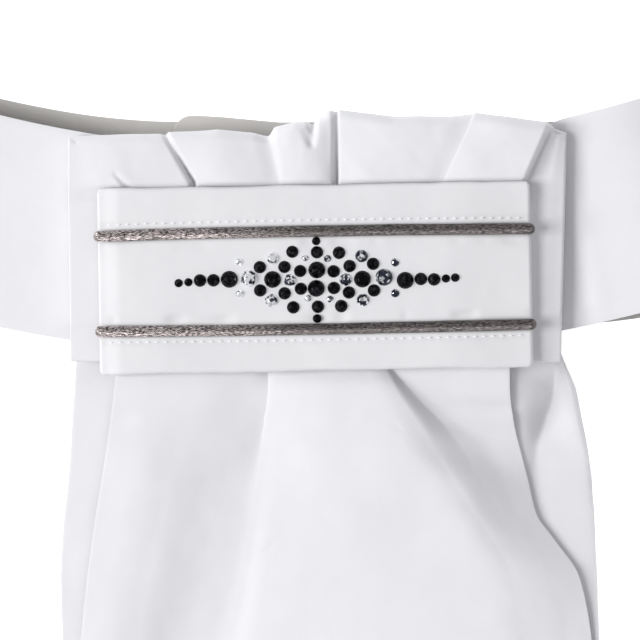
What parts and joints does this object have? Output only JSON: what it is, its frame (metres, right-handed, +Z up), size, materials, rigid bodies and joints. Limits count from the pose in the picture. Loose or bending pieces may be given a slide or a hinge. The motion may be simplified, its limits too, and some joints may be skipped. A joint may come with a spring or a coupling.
{
  "type": "cravat",
  "caption": "Ready-tied white riding stock laid flat: closed neckband, pleated knot panel, padded cross band with metallic cords and a motif of cut stones, two broad folded tails.",
  "frame": {"origin": "middle of the underside of the whole part, on the surface that it lies on", "axes": "+Z up out of the surface, +Y towards the neckband's upper edge, +X towards the wearer's left"},
  "size_m": [0.1988, 0.2116, 0.0232],
  "materials": {
    "white_cloth": "fine white cotton twill",
    "band_cloth": "white cotton over padding",
    "hook_and_loop": "short pile",
    "metallic_cord": "braid of pewter-coloured metallic thread",
    "black_stone": "faceted, polished",
    "clear_stone": "faceted, foiled back"
  },
  "bodies": {
    "root": {"neckband": "white_cloth", "closure_pad": "hook_and_loop", "knot_panel": "white_cloth", "knot_band": "band_cloth", "cord_upper": "metallic_cord", "cord_lower": "metallic_cord", "tail_upper": "white_cloth", "tail_lower": "white_cloth", "black_stone_01": "black_stone", "black_stone_02": "black_stone", "black_stone_03": "black_stone", "black_stone_04": "black_stone", "black_stone_05": "black_stone", "black_stone_06": "black_stone", "black_stone_07": "black_stone", "black_stone_08": "black_stone", "black_stone_09": "black_stone", "black_stone_10": "black_stone", "black_stone_11": "black_stone", "black_stone_12": "black_stone", "black_stone_13": "black_stone", "black_stone_14": "black_stone", "black_stone_15": "black_stone", "black_stone_16": "black_stone", "black_stone_17": "black_stone", "black_stone_18": "black_stone", "black_stone_19": "black_stone", "black_stone_20": "black_stone", "black_stone_21": "black_stone", "black_stone_22": "black_stone", "black_stone_23": "black_stone", "black_stone_24": "black_stone", "black_stone_25": "black_stone", "black_stone_26": "black_stone", "black_stone_27": "black_stone", "black_stone_28": "black_stone", "black_stone_29": "black_stone", "black_stone_30": "black_stone", "black_stone_31": "black_stone", "black_stone_32": "black_stone", "black_stone_33": "black_stone", "black_stone_34": "black_stone", "clear_stone_01": "clear_stone", "clear_stone_02": "clear_stone", "clear_stone_03": "clear_stone", "clear_stone_04": "clear_stone", "clear_stone_05": "clear_stone", "clear_stone_06": "clear_stone", "clear_stone_07": "clear_stone", "clear_stone_08": "clear_stone", "clear_stone_09": "clear_stone", "clear_stone_10": "clear_stone", "clear_stone_11": "clear_stone", "clear_stone_12": "clear_stone", "clear_stone_13": "clear_stone", "clear_stone_14": "clear_stone", "clear_stone_15": "clear_stone", "clear_stone_16": "clear_stone"}
  },
  "joints": []
}
